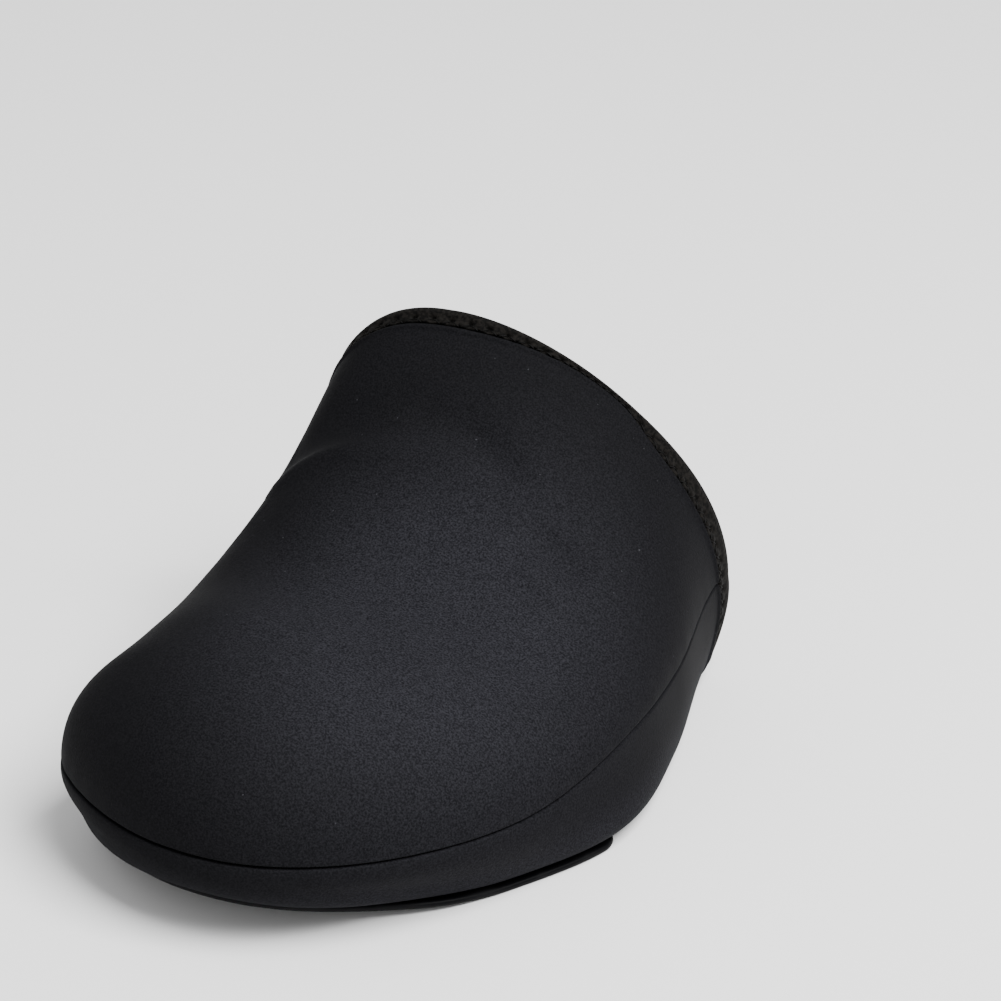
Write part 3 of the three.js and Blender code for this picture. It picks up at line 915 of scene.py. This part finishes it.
def hem_stop(stop, before_hem):
    """Outer face near the hem, and its normal. stop is 0 at the outer lip, 1 and 3 at the seams, 2 at
    the ridge, 4 at the inner lip, and 4 to 5 across the under panel."""
    stop, before_hem = (np.array(each) for each in np.broadcast_arrays(stop, before_hem))
    share = 1 - before_hem / COVER_LENGTH
    on_upper = np.clip(stop, 0, 4)
    inner_side = on_upper > 2
    run = np.where(inner_side, -share, share)
    turn = np.where(inner_side, 3 - on_upper, on_upper - 1)
    upper = form(run, turn)
    normal = form_normal(run, turn)
    at_lip = turn < LIP_TURN + 0.01
    normal = np.where(at_lip[..., None], (0.0, 0.0, -1.0), normal)
    lips = form(share, np.full_like(share, -1.0)), form(-share, np.full_like(share, -1.0))
    across = np.clip(stop - 4, 0, 1)[..., None]
    under = lerp(lips[1], lips[0], across)
    below = stop > 4
    point = np.where(below[..., None], under, upper)
    return point, np.where(below[..., None], (0.0, 0.0, -1.0), normal)


def hem_stops(count):
    """Stops evenly spaced round the hem, and the hem's whole length."""
    dense = np.linspace(0, 5, HEM_POINTS)
    points, _ = hem_stop(dense, 0.0)
    arc = lengths(points)
    return np.interp(np.arange(count) / count * arc[-1], arc, dense), arc[-1]


def looped_mean(values, passes):
    """Running mean round a closed loop of rows."""
    for _ in range(passes):
        values = (np.roll(values, 1, axis=0) + np.roll(values, -1, axis=0) + 2 * values) / 4
    return values


def tape_section():
    """Folded tape as (mm in front of the hem, mm over the outer face), and its points outside.

    It runs over the cover from the tape's edge to the hem, round the fold, back inside the cover to
    the other edge, and then between the tape's two layers, where it lies on the cloth.
    """
    edge = TAPE_WIDTH - np.array(TAPE_EDGE)
    flat = np.concatenate((edge, np.linspace(TAPE_WIDTH - TAPE_FLAT[0], TAPE_FLAT[1], FLAT_COLUMNS)))
    from_edge = np.clip((TAPE_WIDTH - flat) / TAPE_EDGE[-1], 0, 1)
    edge_drop = TAPE_THICKNESS * (1 - np.sqrt(np.clip(1 - (1 - from_edge) ** 2, 0, 1)))
    layer = WALL + GAP + TAPE_THICKNESS
    middle = (TAPE_TOP - layer) / 2
    radius = (TAPE_TOP + layer) / 2
    angle = np.linspace(0, math.pi, FOLD_COLUMNS)
    to_hem = np.linspace(TAPE_WIDTH - TAPE_INSIDE[0], TAPE_INSIDE[1], INSIDE_COLUMNS)
    from_hem = np.linspace(TAPE_INSIDE[1], TAPE_WIDTH - TAPE_INSIDE[0], INSIDE_COLUMNS)
    stretches = (
        (flat, TAPE_TOP - edge_drop),
        (-TAPE_FOLD * np.sin(angle), middle + radius * np.cos(angle)),
        (flat[::-1], -layer + edge_drop[::-1]),
        (to_hem, np.full_like(to_hem, -layer + TAPE_THICKNESS)),
        (from_hem, np.full_like(from_hem, TAPE_TOP - TAPE_THICKNESS)),
    )
    points = np.concatenate([np.stack(each, axis=-1) for each in stretches])
    return points, np.arange(len(points)) < len(flat) + FOLD_OUTSIDE


def stitch_pits(x, width, around, beat):
    """Depth of the pits and dashes that the hem's stitches pull into the tape."""
    pits = PIT_DEPTH * beat ** PIT_SHARPNESS * bell(x - HEM_ROW_BACK * width, PIT_WIDTH)
    dashes = DASH_DEPTHS[0] + DASH_DEPTHS[1] * (1 - beat) ** DASH_SHARPNESS
    dashes = smoothstep(DASH_END - around, *DASH_FADE) * dashes
    return pits + dashes * bell(x - HEM_ROW_FRONT * width, DASH_WIDTH)


def hem_tape():
    """Tape folded round the hem: the section is carried along the hem, following the outer face."""
    stops, length = hem_stops(TAPE_ROWS)
    count = round(length / HEM_PITCH)
    phase = np.arange(TAPE_ROWS)[:, None] / TAPE_ROWS * count
    section_points, outside = tape_section()
    around = np.clip(stops, 0, 4)[:, None] - 1
    beat = 0.5 + 0.5 * np.cos(2 * math.pi * phase)
    width = tape_width(around) - SCALLOP * (1 - beat)
    x = section_points[:, 0] * np.where(section_points[:, 0] > 0, width / TAPE_WIDTH, 1)
    share = x / width
    ribs = sum(rise * bell(share - middle, reach) for rise, middle, reach in TAPE_RIBS)
    y = section_points[:, 1] + np.where(outside, ribs - stitch_pits(x, width, around, beat), 0)
    y = y - curl(around, x)
    point, normal = hem_stop(stops[:, None], x)
    normal = unit(looped_mean(normal, TAPE_NORMAL_PASSES))
    point = looped_mean(point, TAPE_POINT_PASSES)
    quads = grid_quads(TAPE_ROWS, len(section_points), True, True)
    put("hem_tape", point + normal * y[..., None], quads, TAPE, "binding_tape", "hem_binding")
    hem_stitches(count)


# Threads

def stitches(name, start, end, outward, rise, sunk):
    """Bowed threads from start to end: a tube of six sides whose ends close in the cloth."""
    t = np.linspace(0, 1, THREAD_ROWS)
    bow = (rise + sunk) * (1 - (2 * t - 1) ** 4) - sunk
    centre = lerp(start[:, None], end[:, None], t[:, None]) + outward[:, None] * bow[:, None]
    along_thread = unit(end - start)[:, None]
    beside = np.cross(along_thread, outward[:, None])
    radius = THREAD * np.clip(1 - (2 * t - 1) ** 6, 0, 1) ** 0.5
    angle = np.linspace(0, 2 * math.pi, THREAD_SIDES + 1)[:-1]
    ring = beside[:, :, None] * np.cos(angle)[:, None] + outward[:, None, None] * np.sin(angle)[:, None]
    points = centre[:, :, None] + ring * radius[:, None, None]
    one = grid_quads(len(t), len(angle), False, True)
    offset = np.arange(len(start))[:, None, None] * len(t) * len(angle)
    quads = (one + offset).reshape(-1, 4)
    put(name, points, quads, THREAD_FINISH, "binding_tape")


def hem_stitches(count):
    """Zigzag between the two rows of the tape."""
    rows = np.where(np.arange(2 * count) % 2 == 0, HEM_ROW_BACK, HEM_ROW_FRONT)
    stops, _ = hem_stops(2 * count)
    around = np.clip(stops, 0, 4) - 1
    rows = rows * tape_width(around)
    point, normal = hem_stop(stops, rows)
    lift = TAPE_TOP - HEM_THREAD_SINK - curl(around, rows)
    point = point + normal * lift[:, None]
    ahead = np.roll(point, -1, axis=0)
    outward = unit(normal + np.roll(normal, -1, axis=0))
    keep = stops < 4
    stitches("hem_stitches", point[keep], ahead[keep], outward[keep], rise=0.02, sunk=0.5)


def seam_stitches():
    """Short threads that lie in the groove between top panel and side band."""
    run = both_sides(crowded(SEAM_POINTS) * (1 - (TAPE_WIDTH + SEAM_END) / COVER_LENGTH))
    arc = lengths(form(run, np.zeros_like(run)))
    count = int(arc[-1] / SEAM_PITCH)
    first = np.arange(count) * arc[-1] / count
    start_run = np.interp(first, arc, run)
    end_run = np.interp(first + SEAM_STITCH, arc, run)
    start, end = (form(each, np.zeros_like(each)) for each in (start_run, end_run))
    just_above = np.full_like(start_run, 1e-3)
    outward = unit(form_normal(start_run, just_above, 0.0) * SEAM_LEVEL)
    up = np.array((0.0, 0.0, 1.0))
    start = start - outward * SEAM_DEPTH + up * SEAM_SLANT
    end = end - outward * SEAM_DEPTH - up * SEAM_SLANT
    stitches("seam_stitches", start, end, outward, rise=0.1, sunk=0.4)


def under_zigzag():
    """Zigzag over the join of lip and under panel, from behind the patch to the tape."""
    down = np.array((0.0, 0.0, -1.0))
    first = (PATCH_LENGTH + UNDER_MARGIN) / COVER_LENGTH
    last = 1 - (TAPE_WIDTH + UNDER_MARGIN) / COVER_LENGTH
    starts, ends = [], []
    for side in (OUTER, INNER):
        run = side * np.linspace(first, last, UNDER_COUNT)
        lip = form(run, np.full_like(run, -1.0))
        inwards = np.stack((-np.sign(run), np.zeros_like(run), np.zeros_like(run)), axis=-1)
        zigzag = np.where(np.arange(len(run))[:, None] % 2 == 0, *UNDER_ZIGZAG) * inwards
        points = lip + zigzag + down * UNDER_SINK
        starts.append(points[:-1])
        ends.append(points[1:])
    start, end = np.concatenate(starts), np.concatenate(ends)
    stitches("under_zigzag", start, end, np.broadcast_to(down, start.shape), rise=0.15, sunk=0.2)


def cleat_edging():
    """Slanted stitches round the cleat opening."""
    down = np.array((0.0, 0.0, -1.0))
    angle = np.linspace(0, 2 * math.pi, CLEAT_COUNT + 1)[:-1]
    reach = cleat_reach(angle, 0)
    x, y = ray(angle, reach + CLEAT_STITCH[0])
    far_x, far_y = ray(angle + CLEAT_SLANT, reach + CLEAT_STITCH[1])
    start = np.stack((x, y, under_z(y)), axis=-1)
    end = np.stack((far_x, far_y, under_z(far_y)), axis=-1)
    stitches("cleat_edging", start, end, np.broadcast_to(down, start.shape), rise=0.2, sunk=0.25)


top_panel()
side_band()
under_panel()
grip_patch()
hem_tape()
seam_stitches()
under_zigzag()
cleat_edging()


# Studio

def studio():
    """Plain pale floor and an even white sky."""
    floor_mesh = bpy.data.meshes.new("floor")
    corners = [(x * FLOOR_REACH, y * FLOOR_REACH, 0) for x, y in ((-1, -1), (1, -1), (1, 1), (-1, 1))]
    floor_mesh.from_pydata(corners, [], [(0, 1, 2, 3)])
    floor = bpy.data.objects.new("floor", floor_mesh)
    bpy.context.collection.objects.link(floor)
    pale = bpy.data.materials.new("pale_floor")
    pale.use_nodes = True
    shader = pale.node_tree.nodes["Principled BSDF"]
    shader.inputs["Base Color"].default_value = FLOOR_COLOUR
    shader.inputs["Roughness"].default_value = FLOOR_ROUGHNESS
    floor_mesh.materials.append(pale)
    world = bpy.data.worlds.new("studio")
    world.use_nodes = True
    sky = world.node_tree.nodes["Background"]
    sky.inputs["Color"].default_value = SKY_COLOUR
    sky.inputs["Strength"].default_value = SKY_STRENGTH
    bpy.context.scene.world = world


def light(name, place, target, size, power):
    """Square soft light, in metres and watts, turned to its target."""
    data = bpy.data.lights.new(name, "AREA")
    data.shape = "SQUARE"
    data.size = size
    data.energy = power
    lamp = bpy.data.objects.new(name, data)
    lamp.location = place
    lamp.rotation_euler = (Vector(target) - Vector(place)).to_track_quat("-Z", "Y").to_euler()
    bpy.context.collection.objects.link(lamp)


def camera():
    """Camera on the photograph's line of sight, rolled, with its framing."""
    angles = (CAMERA_AZIMUTH, CAMERA_ELEVATION, CAMERA_ROLL)
    azimuth, elevation, roll = (math.radians(each) for each in angles)
    back = Vector((
        math.sin(azimuth) * math.cos(elevation),
        -math.cos(azimuth) * math.cos(elevation),
        math.sin(elevation),
    ))
    level = Vector((math.cos(azimuth), math.sin(azimuth), 0))
    upright = back.cross(level)
    right = math.cos(roll) * level + math.sin(roll) * upright
    up = math.cos(roll) * upright - math.sin(roll) * level
    data = bpy.data.cameras.new("camera")
    data.sensor_width = SENSOR
    data.lens = SENSOR * CAMERA_FOCUS / IMAGE_SIZE
    data.clip_start = 0.01
    eye = (Vector(CAMERA_TARGET) + Vector(PLACE) + back * CAMERA_DISTANCE) * MM
    viewer = bpy.data.objects.new("camera", data)
    viewer.matrix_world = Matrix((
        (right.x, up.x, back.x, eye.x),
        (right.y, up.y, back.y, eye.y),
        (right.z, up.z, back.z, eye.z),
        (0, 0, 0, 1),
    ))
    bpy.context.collection.objects.link(viewer)
    bpy.context.scene.camera = viewer


studio()
light("key", place=(0.6, -0.1, 1.15), target=(0, 0, 0.03), size=0.8, power=40)
light("side", place=(0.9, -0.9, 0.14), target=(0, 0, 0.02), size=0.5, power=1.2)
camera()
